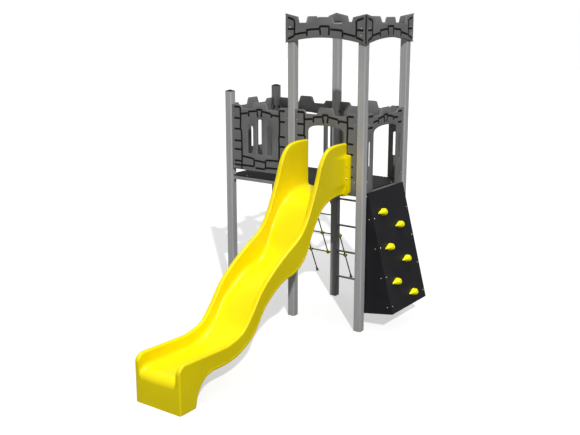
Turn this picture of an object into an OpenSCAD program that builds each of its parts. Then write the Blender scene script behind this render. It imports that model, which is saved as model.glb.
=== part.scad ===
// Two-bay play tower with a wave slide, climbing wall, rung ladder and rope net.
// Origin: ground under the middle front post. +Z is up, -Y is the way the slide runs,
// +X is the climbing wall's side, +Y is the back with the ladder and the net.

/* [Frame] */
// Distance between post centres, both ways
bay = 870; // [780:10:1000]
// Width of a square post
post_w = 86; // [76:1:96]
// Wall of the post tube
post_wall = 3; // [2:0.5:5]
// Corner radius of the post
post_r = 12; // [4:1:16]
// Height of the tower's posts
tall_post_h = 3230; // [3100:10:3400]
// Height of the low bay's outer posts
short_post_h = 2478; // [2350:2:2600]
// Thickness of the plug in a post's foot
foot_plug_t = 12; // [8:1:20]
// Bore for the ground anchor's bolt
anchor_bore = 18; // [12:1:24]
// Height of a post cap's dome
cap_dome = 12; // [6:1:20]

/* [Deck] */
// Height of the deck's top face
deck_h = 1530; // [1260:10:1830]
// Thickness of the deck plate
deck_t = 12; // [8:1:18]
// Height of a deck beam
beam_h = 39; // [30:1:50]
// Width of a deck beam
beam_w = 30; // [26:1:36]
// Wall of the deck beam tube
beam_wall = 3; // [2:0.5:4]

/* [Panels] */
// Thickness of a wall panel
panel_t = 15; // [12:1:18]
// How far a panel's outer face lies behind the post's outer face
panel_inset = 17; // [8:1:24]
// Gap under a window panel
window_gap = 75; // [50:1:85]
// Height of a panel's dips above the deck
panel_h = 772; // [720:1:820]
// Rise of the end merlons
merlon_h = 38; // [20:1:60]
// Rise of the middle merlon
mid_merlon_h = 75; // [50:1:110]
// Half width of the slide's doorway
slide_door_half = 226; // [222:1:240]
// Half width of the other doorways
door_half = 248; // [220:1:260]
// Height of a doorway's crown above the deck
door_h = 660; // [600:5:700]
// Rise of the doorway's arch
door_rise = 75; // [40:1:110]
// Width of a window slot
slot_w = 78; // [50:1:86]
// Width of a slot beside a doorway
jamb_slot_w = 40; // [20:1:50]
// Thickness of a crown panel
crown_t = 17; // [12:1:20]
// Height of a crown panel at its corners
crown_h = 302; // [260:1:340]

/* [Slide] */
// Outer width of the chute
chute_w = 532; // [500:1:560]
// Thickness of a chute wall
chute_wall = 48; // [44:1:56]
// Thickness of the chute's bed
bed_t = 35; // [25:1:40]
// How far the slide runs out from the tower
slide_run = 2614; // [2400:10:3000]
// Height of the slide's exit above the ground
exit_h = 318; // [280:1:345]
// Height of the wall above the bed at the exit
rim_h = 137; // [110:1:160]
// Height of the wall above the bed at the entry
hood_h = 500; // [500:10:560]
// Length of the foot along the ground
foot_len = 204; // [160:1:260]
// Width of the mounting flange
flange_w = 652; // [600:1:690]
// Thickness of the mounting flange
flange_t = 40; // [24:1:50]

/* [Climbing wall] */
// Length of the climbing board
board_len = 1311; // [1100:1:1400]
// Thickness of the boards
board_t = 18; // [15:1:22]
// Lean of the board from upright
board_tilt = 14.8; // [10:0.1:18]
// Gap between a post and a side board, filled by spacers
side_gap = 12; // [6:1:16]
// Length of a climbing hold
hold_len = 136; // [110:1:150]
// Height of a climbing hold off the board
hold_h = 52; // [40:1:60]

/* [Ladder and net] */
// Diameter of a ladder rung
rung_d = 24; // [22:1:32]
// Spacing of the rungs
rung_pitch = 318; // [280:1:330]
// Diameter of the net's rope
rope_d = 16; // [14:1:20]
// How far out the net meets the ground
net_out = 690; // [600:10:800]
// How far the net hangs off the bay's middle, towards the outer posts
net_side = 30; // [0:5:80]
// Spacing between the net's long ropes
net_col = 262; // [220:1:280]
// Spacing between the net's cross ropes
net_row = 313; // [280:1:330]

/* [Hidden] */
$fn = 48;
half = post_w/2;
face = half - panel_inset;          // a panel's outer face, out from the post centre line
back = face - panel_t;              // a panel's inner face, also the deck's edge
clear_w = bay - post_w;             // clear width between two posts
beam_z = deck_h - deck_t - beam_h;  // underside of the beams
valley_z = deck_h + panel_h;
crown_z = tall_post_h - 195;        // lowest point of a crown panel
fit = 0.5;                          // gap round a post or at a butt joint
bolt_r = 4;
bolt_gap = 0.5;
head_r = 8;
head_h = 5;
bracket = [34, 30, 4];              // leg length, width and thickness of an angle bracket
corners = [[0, 0], [bay, 0], [bay, bay], [0, bay]];
edge_at = [0.26, 0.74];             // screw places along a bay
panel_bolt_in = 27;                 // bolt row in from a panel's edge
panel_bolt_z = [94, 700];           // bolt heights above the deck
crown_bolt_z = [90, 160];           // bolt heights above a crown's lowest point

// ---- helpers ----

// Square with round corners, centred
module round_square(w, r) {
    square([w - 2*r, w], center = true);
    square([w, w - 2*r], center = true);
    for (x = [-1, 1], y = [-1, 1]) translate([x*(w/2 - r), y*(w/2 - r)]) circle(r);
}

// Dome-headed bolt along +Y: head outside at y = 0, shank inward, nut at its end
module bolt(len, nut = true) {
    rotate([90, 0, 0]) cylinder(h = head_h, r1 = head_r, r2 = head_r*0.6);
    rotate([-90, 0, 0]) cylinder(h = len + (nut ? 6 : 0), r = bolt_r);
    if (nut) translate([0, len + 6, 0]) rotate([90, 0, 0]) cylinder(h = 6, r = 7, $fn = 6);
}

// Hole for a bolt along Y
module bolt_hole(depth) {
    translate([0, -1, 0]) rotate([-90, 0, 0]) cylinder(h = depth + 2, r = bolt_r + bolt_gap);
}

// Points of a smooth curve through a list of knots
function blend(a, b, c, d, t) =
    (2*b + (c - a)*t + (2*a - 5*b + 4*c - d)*t*t + (3*b - a - 3*c + d)*t*t*t)/2;
function smooth(k, n = 5) = concat([for (i = [0:len(k) - 2], j = [0:n - 1])
    blend(k[max(i - 1, 0)], k[i], k[i + 1], k[min(i + 2, len(k) - 1)], j/n)], [k[len(k) - 1]]);

// The same curve moved sideways by d, to the right of its direction
function along(p, i) = p[min(i + 1, len(p) - 1)] - p[max(i - 1, 0)];
function beside(p, d) = [for (i = [0:len(p) - 1])
    p[i] + d*[along(p, i)[1], -along(p, i)[0]]/norm(along(p, i))];
function arc(c, r, a0, a1, n = 8) = [for (i = [0:n])
    c + r*[cos(a0 + (a1 - a0)*i/n), sin(a0 + (a1 - a0)*i/n)]];
function reversed(p) = [for (i = [len(p) - 1:-1:0]) p[i]];
function mirrored(p) = [for (i = [len(p) - 1:-1:0]) [-p[i][0], p[i][1]]];

// Puts a panel on a bay's face: side 0 front, 1 right, 2 back, 3 left, x0 the bay's left post
module on_side(side, x0, out) {
    middle = [x0 + bay/2, bay/2, 0];
    translate(middle) rotate([0, 0, 90*side]) translate([0, -bay/2 - out, 0]) children();
}

// ---- posts ----

module post(x, y, h) {
    color("darkgray") difference() {
        translate([x, y, 0]) linear_extrude(h) round_square(post_w, post_r);
        translate([x, y, -1]) linear_extrude(h + 2)
            round_square(post_w - 2*post_wall, post_r - post_wall);
        if (x >= 0) crown_holes();
        if (x > 0) side_board_holes();
    }
}

// Plug in a post's foot, bored for the ground anchor's bolt
module post_feet() {
    color("dimgray") for (x = [-bay, 0, bay], y = [0, bay]) translate([x, y, 0])
        difference() {
            linear_extrude(foot_plug_t)
                round_square(post_w - 2*post_wall - fit, post_r - post_wall);
            translate([0, 0, -1]) cylinder(h = foot_plug_t + 2, d = anchor_bore);
        }
}

module cap(x, y, h) {
    dome_r = (half*half + cap_dome*cap_dome)/(2*cap_dome);
    translate([x, y, h]) {
        linear_extrude(6) round_square(post_w, post_r);
        translate([0, 0, -24]) linear_extrude(24)
            round_square(post_w - 2*post_wall - fit, post_r - post_wall);
        intersection() {
            translate([0, 0, 6]) linear_extrude(cap_dome) round_square(post_w - 4, post_r);
            translate([0, 0, 6 + cap_dome - dome_r]) sphere(dome_r, $fn = 64);
        }
    }
}

module post_caps() {
    color("black") {
        for (c = corners) cap(c[0], c[1], tall_post_h);
        for (y = [0, bay]) cap(-bay, y, short_post_h);
    }
}

// ---- crown panels round the tower's top ----

crown_half = bay/2 + half + crown_t;
crown_rise = 62;
crown_arc_r = (crown_half*crown_half + crown_rise*crown_rise)/(2*crown_rise);
crown_arc = [for (i = [-12:12]) let (u = crown_half*i/12)
    [u, crown_rise - crown_arc_r + sqrt(crown_arc_r*crown_arc_r - u*u)]];
crown_dip = crown_h - 100;

function crown_top() = let (e = crown_half)
    [[e, crown_h], [e - 158, crown_h - 34], [e - 176, crown_dip], [108, crown_dip],
     [90, crown_dip + 50], [78, crown_dip + 66]];

module crown_outline() {
    polygon(concat(crown_arc, crown_top(), mirrored(crown_top())));
}

module crown(side) {
    color("gray") difference() {
        on_side(side, 0, half + crown_t) intersection() {
            translate([0, crown_t, crown_z]) rotate([90, 0, 0]) linear_extrude(crown_t)
                crown_outline();
            linear_extrude(crown_z + crown_h + 10) polygon([[-crown_half + fit, 0],
                [crown_half - fit, 0], [crown_half - crown_t - fit, crown_t],
                [-crown_half + crown_t + fit, crown_t]]);
        }
        on_side(side, 0, half + crown_t) crown_bolt_places() bolt_hole(crown_t);
    }
}

// Places of a crown's bolts, on the middle of each post
module crown_bolt_places() {
    for (u = [-bay/2, bay/2], z = crown_bolt_z) translate([u, 0, crown_z + z]) children();
}

module crown_holes() {
    for (side = [0:3]) on_side(side, 0, half + crown_t)
        crown_bolt_places() bolt_hole(crown_t + post_wall);
}

module crown_bolts() {
    color("silver") for (side = [0:3]) on_side(side, 0, half + crown_t)
        crown_bolt_places() bolt(crown_t + post_wall, nut = false);
}

// ---- wall panels ----

function panel_top() = let (e = clear_w/2)
    [[e, merlon_h - 4], [e - 10, merlon_h], [e - 112, merlon_h], [e - 124, merlon_h - 10],
     [e - 140, 4], [e - 150, 0], [116, 0], [106, 6], [86, mid_merlon_h - 12],
     [74, mid_merlon_h]];

function door_arch(a) = [for (i = [0:14]) let (t = 180*i/14)
    [a*sign(cos(t))*pow(abs(cos(t)), 0.8), door_h - door_rise + door_rise*pow(sin(t), 0.8)]];

// Slot with a round top, standing on the height z0 above the deck
module slot_shape(u, w, z0, z1) {
    translate([u - w/2, z0]) square([w, z1 - z0 - w/2]);
    translate([u, z1 - w/2]) circle(w/2);
}

module window_shape() {
    difference() {
        polygon(concat([[-clear_w/2, window_gap], [clear_w/2, window_gap]],
            [for (p = panel_top()) p + [0, panel_h]],
            [for (p = mirrored(panel_top())) p + [0, panel_h]]));
        for (u = [-133, 133]) slot_shape(u, slot_w, 268, 590);
        slot_shape(0, slot_w, 268, 662);
    }
}

module doorway_shape(a, slots) {
    foot = beam_z - deck_h;
    difference() {
        polygon(concat([[-clear_w/2, foot], [-a, foot]], reversed(door_arch(a)),
            [[a, foot], [clear_w/2, foot]],
            [for (p = panel_top()) p + [0, panel_h]],
            [for (p = mirrored(panel_top())) p + [0, panel_h]]));
        if (slots) for (s = [-1, 1])
            slot_shape(s*(clear_w/2 - 70), jamb_slot_w, 258, 523);
    }
}

// Places of a panel's bolts, at its four corners
module panel_bolt_places() {
    for (s = [-1, 1], z = panel_bolt_z)
        translate([s*(clear_w/2 - panel_bolt_in), 0, deck_h + z]) children();
}

module panel(side, x0) {
    color("gray") difference() {
        on_side(side, x0, face) translate([0, panel_t, deck_h]) rotate([90, 0, 0])
            linear_extrude(panel_t) children();
        on_side(side, x0, face) panel_bolt_places() bolt_hole(panel_t);
        if (side == 0 && x0 == 0) slide_bolt_places() bolt_hole(panel_t);
    }
}

bays = [[0, -bay], [3, -bay], [2, -bay], [0, 0], [1, 0], [2, 0]];

// Angle bracket in the corner between a panel's back and a post
module panel_brackets() {
    l = bracket[0];
    w = bracket[1];
    t = bracket[2];
    color("silver") for (b = bays) on_side(b[0], b[1], face) for (s = [-1, 1], z = panel_bolt_z)
        translate([s*clear_w/2, panel_t, deck_h + z]) mirror([s > 0 ? 1 : 0, 0, 0])
            difference() {
                union() {
                    translate([0, 0, -w/2]) cube([l + 6, t, w]);
                    translate([0, 0, -w/2]) cube([t, l, w]);
                }
                translate([panel_bolt_in, 0, 0]) bolt_hole(t);
            }
}

module panel_bolts() {
    color("silver") for (b = bays) on_side(b[0], b[1], face) panel_bolt_places()
        bolt(panel_t + bracket[2]);
}

// ---- deck ----

module deck_plate(x0, x1) {
    color("black") difference() {
        translate([x0, -back, deck_h - deck_t]) cube([x1 - x0, bay + 2*back, deck_t]);
        for (x = [-bay, 0, bay], y = [0, bay]) translate([x, y, deck_h - deck_t - 1])
            linear_extrude(deck_t + 2) square(post_w + 2*fit, center = true);
        deck_screw_places() deck_screw_hole();
    }
}

// Rectangular tube along X from the origin
module beam_tube(len) {
    difference() {
        cube([len, beam_w, beam_h]);
        translate([-1, beam_wall, beam_wall])
            cube([len + 2, beam_w - 2*beam_wall, beam_h - 2*beam_wall]);
    }
}

module deck_beams(y) {
    color("lightgray") difference() {
        for (x = [-bay, 0]) translate([x + half, y, beam_z]) beam_tube(clear_w);
        deck_screw_places() deck_screw_hole();
        if (y > 0) for (x = net_cols) net_eye_hole(x);
    }
}

cross_x = [-bay - back, -beam_w/2, bay + back - beam_w];

module deck_beams_cross() {
    color("lightgray") difference() {
        for (x = cross_x) translate([x + beam_w, half, beam_z]) rotate([0, 0, 90])
            beam_tube(clear_w);
        deck_screw_places() deck_screw_hole();
    }
}

// Screws over the outer beams of each bay
module deck_screw_places() {
    for (x = [-bay, 0], f = edge_at, y = [-back + beam_w/2, bay + back - beam_w/2])
        translate([x + bay*f, y, deck_h]) children();
    for (x = [cross_x[0] + beam_w/2, cross_x[2] + beam_w/2], f = edge_at)
        translate([x, bay*f, deck_h]) children();
}

module deck_screw_hole() {
    depth = deck_t + beam_wall + 1;
    translate([0, 0, -depth]) cylinder(h = depth + 1, r = bolt_r + bolt_gap);
}

module deck_screws() {
    color("silver") deck_screw_places() {
        cylinder(h = 4, r1 = head_r, r2 = head_r*0.6);
        translate([0, 0, -deck_t - beam_wall]) cylinder(h = deck_t + beam_wall, r = bolt_r);
    }
}

// Angle under a beam's end, against the post
module beam_brackets() {
    l = bracket[0];
    w = 24;
    t = bracket[2];
    color("dimgray") {
        for (x = [-bay, 0], y = [-back + 3, bay + back - 3 - w], e = [0, 1])
            translate([x + half + e*clear_w, y, beam_z]) mirror([e, 0, 0]) {
                translate([0, 0, -t]) cube([l, w, t]);
                translate([0, 0, -l]) cube([t, w, l]);
            }
        for (x = cross_x, e = [0, 1])
            translate([x + 3, half + e*clear_w, beam_z]) mirror([0, e, 0]) {
                translate([0, 0, -t]) cube([w, l, t]);
                translate([0, 0, -l]) cube([w, t, l]);
            }
    }
}

// ---- slide ----

slide_drop = deck_h - exit_h;
nose_r = 95;
rim_r = 85;
foot_r = 280;
lip = panel_t - fit;                // the bed's lip reaches through the doorway to the deck

// Bed knots: share of the run, share of the drop still to go
bed_knots = [[0.067, 1], [0.122, 0.978], [0.174, 0.923], [0.211, 0.845], [0.254, 0.711],
    [0.292, 0.562], [0.352, 0.471], [0.422, 0.443], [0.488, 0.375], [0.552, 0.271],
    [0.611, 0.112], [0.666, 0.037], [0.719, -0.002], [0.793, -0.015], [0.9636, 0]];
// Rim knots: the same two shares, and how much of the hood's height is left
rim_knots = [[0, 1, 1], [0.078, 1, 1], [0.132, 0.985, 0.95], [0.172, 0.93, 0.82],
    [0.2, 0.87, 0.53], [0.233, 0.79, 0.3], [0.269, 0.66, 0.25], [0.319, 0.515, 0.34],
    [0.403, 0.455, 0.22], [0.484, 0.38, 0.12], [0.556, 0.26, 0.12], [0.61, 0.12, 0.12],
    [0.667, 0.035, 0], [0.736, -0.01, 0], [0.793, -0.015, 0], [0.9675, 0, 0]];

bed_curve = smooth([for (k = bed_knots) [slide_run*k[0], exit_h + slide_drop*k[1]]]);
bed_line = concat([[-lip, deck_h], [0, deck_h]], bed_curve);
nose = arc([slide_run - nose_r, exit_h - nose_r], nose_r, 85, 0);
rim_line = smooth([for (k = rim_knots)
    [slide_run*k[0], exit_h + slide_drop*k[1] + rim_h*(1 - k[2]) + hood_h*k[2]]]);
rim_end = arc([slide_run - rim_r, exit_h + rim_h - rim_r], rim_r, 85, 0);
under_line = [for (p = beside(concat([[0, deck_h]], bed_curve), bed_t))
    if (p[0] < slide_run - foot_len - foot_r*0.5) p];
foot_back = arc([slide_run - foot_len + foot_r - foot_r*2, 0], foot_r, 0, 62);

// Side outline extruded across the chute, from x0 for the width w
module across(x0, w) {
    translate([x0 + w, -face, 0]) rotate([0, 0, -90]) rotate([90, 0, 0])
        linear_extrude(w) children();
}

module bed_shape() {
    skin = concat(bed_line, nose, [[slide_run, 0]]);
    inner = beside(skin, bed_t);
    polygon(concat(skin, [[slide_run - bed_t, 0]],
        reversed([for (i = [0:len(skin) - 2]) inner[i]])));
}

module wall_shape() {
    polygon(concat([[0, deck_h - bed_t]], rim_line, rim_end,
        [[slide_run, 0], [slide_run - foot_len, 0]], foot_back, reversed(under_line)));
}

module flange_shape() {
    w = flange_w/2;
    difference() {
        polygon(concat(arc([w - 24, deck_h + 384 - 24], 24, 0, 90),
            arc([24 - w, deck_h + 384 - 24], 24, 90, 180),
            arc([80 - w, deck_h + 20], 80, 180, 270), arc([w - 80, deck_h + 20], 80, 270, 360)));
        translate([chute_wall - chute_w/2, deck_h]) square([chute_w - 2*chute_wall, 500]);
    }
}

// Plan of the swelling where the chute's side runs out into its flange
module cheek_plan() {
    w = chute_w/2;
    polygon([[w - 10, 0], [w + 18, 0], [w + 18, -flange_t], [w + 8, -130], [w, -285],
        [w - 10, -285]]);
}

module slide_chute() {
    x0 = bay/2 - chute_w/2;
    color("yellow") {
        across(x0, chute_wall) wall_shape();
        across(x0 + chute_w - chute_wall, chute_wall) wall_shape();
        across(x0 + chute_wall, chute_w - 2*chute_wall) bed_shape();
        for (s = [0, 1]) translate([bay/2, -face, deck_h + 50]) mirror([s, 0, 0])
            linear_extrude(300) cheek_plan();
        difference() {
            translate([bay/2, -face, 0]) rotate([90, 0, 0]) linear_extrude(flange_t)
                flange_shape();
            translate([0, -flange_t, 0]) slide_bolt_places() bolt_hole(flange_t);
        }
    }
}

// Flange bolts, beside the doorway, on the panel's outer face
module slide_bolt_places() {
    for (s = [-1, 1], z = [130, 260])
        translate([bay/2 + s*(flange_w/2 - 30), -face, deck_h + z]) children();
}

module slide_bolts() {
    color("silver") translate([0, -flange_t, 0]) slide_bolt_places()
        bolt(flange_t + panel_t);
}

// Ground angle behind the foot's front wall
module slide_foot_anchor() {
    w = chute_w - 2*chute_wall - 20;
    color("silver") translate([bay/2 - w/2, -face - slide_run + bed_t, 0]) {
        cube([w, 60, 5]);
        cube([w, 5, 70]);
    }
}

// ---- climbing wall ----

board_x = bay + face + 21;           // the board's top edge, out from the end wall
board_z = deck_h - 18;
board_y0 = half + side_gap;
board_w = clear_w - 2*side_gap;
board_bolt_s = [for (f = [0.2113, 0.4537, 0.6961, 0.9386]) f*board_len];
board_bolt_in = board_t + 14;        // bolt row in from the board's side edge
side_bolt_in = 30;                  // bolt row in a side board, behind the board's back

// Frame on the board's front face: top edge at the origin, +Z up the board, +X off its face
module on_board() {
    translate([board_x, board_y0, board_z]) rotate([0, -board_tilt, 0]) children();
}

function board_front(s) = [board_x + s*sin(board_tilt), board_z - s*cos(board_tilt)];
function board_rear(s) = board_front(s) - (board_t + 0.1)*[cos(board_tilt), sin(board_tilt)];

// Heights of the bolts from the side boards to the posts, between the foot and the deck
board_foot = board_rear(board_len)[1];
side_bolt_z = [for (f = [0.124, 0.481, 0.837]) board_foot + f*(deck_h - board_foot)];

module climbing_board() {
    color("darkslategray") on_board() difference() {
        translate([-board_t, 0, -board_len]) cube([board_t, board_w, board_len]);
        board_bolt_places() bolt_hole(board_t);
        hold_places() translate([1, 0, 0]) rotate([0, -90, 0])
            cylinder(h = board_t + 2, r = bolt_r + bolt_gap);
    }
}

// Bolts through the board's edges into the corner brackets, pointing into the board
module board_bolt_places() {
    for (y = [board_bolt_in, board_w - board_bolt_in], s = board_bolt_s)
        translate([0, y, -s]) rotate([0, 0, 90]) children();
}

// Bolts through a side board into the corner brackets; e is 0 for the near side, 1 for the far
module side_bracket_places(e) {
    on_board() for (s = board_bolt_s) translate([-board_t - side_bolt_in, e*board_w, -s])
        rotate([0, 0, e*180]) children();
}

module side_board(e) {
    y = e == 0 ? 0 : board_w - board_t;
    low = board_rear(board_len);
    high = board_rear(38);
    color("black") difference() {
        translate([0, board_y0 + y + board_t, 0]) rotate([90, 0, 0]) linear_extrude(board_t)
            polygon([high, low, [bay, low[1] - 55], [bay, high[1]]]);
        side_bracket_places(e) bolt_hole(board_t);
        side_bolt_places(e) bolt_hole(board_t);
    }
}

// Corner brackets between the board and its side boards
module board_brackets() {
    l = bracket[0];
    w = bracket[1];
    t = bracket[2];
    color("silver") on_board() for (s = board_bolt_s, e = [0, 1])
        translate([-board_t, e == 0 ? board_t : board_w - board_t, -s]) mirror([0, e, 0])
            difference() {
                union() {
                    translate([-t, 0, -w/2]) cube([t, l, w]);
                    translate([-l - 8, 0, -w/2]) cube([l + 8, t, w]);
                }
                translate([0, board_bolt_in - board_t, 0]) rotate([0, 0, 90]) bolt_hole(t);
                translate([-side_bolt_in, 0, 0]) bolt_hole(t);
            }
}

module board_bolts() {
    color("silver") {
        on_board() board_bolt_places() bolt(board_t + bracket[2]);
        for (e = [0, 1]) side_bracket_places(e) bolt(board_t + bracket[2]);
    }
}

// Bolts that hold a side board to its post, through spacers, from the board's inner face
module side_bolt_places(e) {
    for (z = side_bolt_z)
        translate([bay + 22, e == 0 ? board_y0 + board_t : board_y0 + board_w - board_t, z])
            rotate([0, 0, e == 0 ? 180 : 0]) children();
}

module side_board_holes() {
    for (e = [0, 1]) side_bolt_places(e) bolt_hole(board_t + side_gap + post_wall);
}

module side_spacers() {
    color("black") for (e = [0, 1]) side_bolt_places(e) translate([0, board_t, 0])
        rotate([-90, 0, 0]) difference() {
            cylinder(h = side_gap, r = 14);
            translate([0, 0, -1]) cylinder(h = side_gap + 2, r = bolt_r + bolt_gap);
        }
}

module side_bolts() {
    color("silver") for (e = [0, 1]) side_bolt_places(e)
        bolt(board_t + side_gap + post_wall, nut = false);
}

// Hold places: left row and right row, staggered, as shares of the way down the board
hold_at = [for (h = [[-162, 0.183], [133, 0.3318], [-162, 0.4752], [133, 0.6232],
    [-162, 0.7658], [133, 0.9123]]) [h[0], h[1]*board_len]];

module hold_place(i) {
    translate([0, board_w/2 + hold_at[i][0], -hold_at[i][1]]) children();
}

module hold_places() {
    for (i = [0:5]) hold_place(i) children();
}

// Teardrop hold: its round end stands highest, its tip lies flat on the board
module hold(i) {
    r = 40;
    tip_r = 6;
    color("yellow") on_board() hold_place(i) difference() {
        hull($fn = 32) {
            rotate([0, 90, 0]) cylinder(h = 8, r = r);
            translate([hold_h - 10, 0, 0]) rotate([0, 90, 0]) cylinder(h = 10, r1 = 30, r2 = 20);
            translate([0, r - hold_len + tip_r, 0]) rotate([0, 90, 0])
                cylinder(h = 10, r1 = tip_r, r2 = 3);
        }
        translate([-1, 0, 0]) rotate([0, 90, 0]) cylinder(h = hold_h + 2, r = bolt_r + 1);
        translate([hold_h - 12, 0, 0]) rotate([0, 90, 0]) cylinder(h = 14, r = head_r + 2);
    }
}

module hold_bolts() {
    color("dimgray") on_board() hold_places() {
        translate([hold_h - 12, 0, 0]) rotate([0, 90, 0]) cylinder(h = head_h, r = head_r);
        translate([-board_t - 6, 0, 0]) rotate([0, 90, 0])
            cylinder(h = board_t + hold_h - 6, r = bolt_r);
        translate([-board_t - 6, 0, 0]) rotate([0, 90, 0]) cylinder(h = 6, r = 7, $fn = 6);
    }
}

// ---- rung ladder between the back posts ----

collar_t = 6;

function rung_z(i) = deck_h - (5 - i)*rung_pitch - 12;

module rung(i) {
    color("dimgray") translate([half + collar_t, bay, rung_z(i)]) rotate([0, 90, 0])
        cylinder(h = clear_w - 2*collar_t, d = rung_d);
}

module rung_collars() {
    color("black") for (i = [1:4], e = [0, 1])
        translate([half + e*(clear_w - collar_t), bay, rung_z(i)]) rotate([0, 90, 0])
            cylinder(h = collar_t, d = rung_d + 16);
}

// ---- rope net ----

net_y = bay + back + 16;            // top of the net, just behind the back beam
net_top = beam_z - 10;
net_len = norm([net_out, net_top]);
net_lean = atan2(net_out, net_top);
clamp_r = 17;
sleeve_r = 13;
net_cols = [for (i = [-1:1]) i*net_col - net_side];
last_row = 4*net_row + 28;

// Frame on the net: top middle at the origin, +Z up along the ropes
module on_net() {
    translate([-bay/2, net_y, net_top]) rotate([net_lean, 0, 0]) children();
}

module long_rope(i, len) {
    color("black") on_net() translate([net_cols[i], 0, -len]) cylinder(h = len, d = rope_d);
}

// Cross ropes, cut where they pass the long ropes
module net_cross_ropes() {
    gap = rope_d/2 + fit;
    color("black") on_net() for (k = [1:4], i = [0, 1])
        translate([net_cols[i] + gap, 0, -net_row*k]) rotate([0, 90, 0])
            cylinder(h = net_col - 2*gap, d = rope_d);
}

// Clamp at each crossing, with bores for the ropes
module net_clamps() {
    color("yellow") on_net() for (k = [1:4], x = net_cols)
        translate([x, 0, -net_row*k]) difference() {
            union() {
                cylinder(h = 46, r = clamp_r, center = true);
                rotate([0, 90, 0]) cylinder(h = 46, r = clamp_r, center = true);
            }
            cylinder(h = 60, d = rope_d + 0.6, center = true);
            rotate([0, 90, 0]) cylinder(h = 60, d = rope_d + 0.6, center = true);
        }
}

// Strap and sleeve that hold each long rope's top under the back beam
module net_top_eyes() {
    color("silver") for (x = net_cols) difference() {
        union() {
            translate([x - bay/2 - 15, net_y - 42, beam_z - 4]) cube([30, 52, 4]);
            on_net() translate([x, 0, -38]) cylinder(h = 40, r = sleeve_r);
        }
        on_net() translate([x, 0, -60]) cylinder(h = 60.4, d = rope_d + 0.6);
        net_eye_hole(x);
    }
}

module net_eye_hole(x) {
    translate([x - bay/2, net_y - 30, beam_z - 5])
        cylinder(h = beam_wall + 6, r = bolt_r + bolt_gap);
}

module net_eye_bolts() {
    color("dimgray") for (x = net_cols) translate([x - bay/2, net_y - 30, beam_z - 4]) {
        cylinder(h = 4 + beam_wall, r = bolt_r);
        translate([0, 0, -4]) cylinder(h = 4, r = head_r - 2);
    }
}

// Ground sleeves at the outer ropes' ends
module net_ground_anchors() {
    color("silver") for (x = [net_cols[0], net_cols[2]]) difference() {
        union() {
            translate([x - bay/2, net_y + net_out, 0]) cylinder(h = 5, r = 22);
            on_net() translate([x, 0, 8 - net_len]) cylinder(h = 36, r = sleeve_r);
        }
        on_net() translate([x, 0, 15.6 - net_len]) cylinder(h = 60, d = rope_d + 0.6);
    }
}

// ---- what is drawn ----

post(-bay, 0, short_post_h);  // post_front_left
post(0, 0, tall_post_h);  // post_front_middle
post(bay, 0, tall_post_h);  // post_front_right
post(-bay, bay, short_post_h);  // post_back_left
post(0, bay, tall_post_h);  // post_back_middle
post(bay, bay, tall_post_h);  // post_back_right
post_caps();
post_feet();
crown(0);  // crown_front
crown(1);  // crown_right
crown(2);  // crown_back
crown(3);  // crown_left
crown_bolts();
panel(0, -bay) window_shape();  // window_panel_front
panel(3, -bay) window_shape();  // window_panel_end
panel(0, 0) doorway_shape(slide_door_half, false);  // slide_doorway
panel(1, 0) doorway_shape(door_half, true);  // wall_doorway
panel(2, 0) doorway_shape(door_half, true);  // ladder_doorway
panel(2, -bay) doorway_shape(door_half, true);  // net_doorway
panel_brackets();
panel_bolts();
deck_plate(-bay - back, -fit);  // deck_left
deck_plate(fit, bay + back);  // deck_right
deck_beams(-back);  // deck_beams_front
deck_beams(bay + back - beam_w);  // deck_beams_back
deck_beams_cross();
beam_brackets();
deck_screws();
slide_chute();
slide_bolts();
slide_foot_anchor();
climbing_board();
side_board(0);  // climbing_side_near
side_board(1);  // climbing_side_far
board_brackets();
board_bolts();
side_spacers();
side_bolts();
hold(0);  // hold_1
hold(1);  // hold_2
hold(2);  // hold_3
hold(3);  // hold_4
hold(4);  // hold_5
hold(5);  // hold_6
hold_bolts();
rung(1);  // rung_1
rung(2);  // rung_2
rung(3);  // rung_3
rung(4);  // rung_4
rung_collars();
long_rope(0, net_len - 16);  // net_rope_left
long_rope(1, last_row);  // net_rope_middle
long_rope(2, net_len - 16);  // net_rope_right
net_cross_ropes();
net_clamps();
net_top_eyes();
net_eye_bolts();
net_ground_anchors();
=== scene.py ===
import math

import bmesh
import bpy
import numpy as np
from mathutils import Matrix, Vector


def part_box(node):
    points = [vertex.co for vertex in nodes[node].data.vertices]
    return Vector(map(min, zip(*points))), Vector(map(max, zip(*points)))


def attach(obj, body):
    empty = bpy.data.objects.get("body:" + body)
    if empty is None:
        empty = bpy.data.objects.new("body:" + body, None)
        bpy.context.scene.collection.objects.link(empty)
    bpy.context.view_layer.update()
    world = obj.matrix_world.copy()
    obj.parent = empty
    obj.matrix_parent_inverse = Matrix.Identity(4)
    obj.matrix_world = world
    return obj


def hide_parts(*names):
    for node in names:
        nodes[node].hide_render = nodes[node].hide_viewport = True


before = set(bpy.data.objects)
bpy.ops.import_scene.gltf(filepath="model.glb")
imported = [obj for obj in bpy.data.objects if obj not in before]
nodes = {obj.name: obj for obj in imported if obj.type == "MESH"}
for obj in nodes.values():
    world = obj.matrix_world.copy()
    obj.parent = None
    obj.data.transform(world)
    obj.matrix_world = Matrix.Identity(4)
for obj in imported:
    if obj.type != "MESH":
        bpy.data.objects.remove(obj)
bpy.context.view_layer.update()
mm = 0.001

tower = {
    "bay": 0.870,        # between post centres
    "deckTop": 1.530,
    "panelFace": 0.026,  # a panel's outer face, out from the post centre line
    "crownFace": 0.060,
    "crownFoot": 3.035,  # lowest point of a crown panel
}


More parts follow.
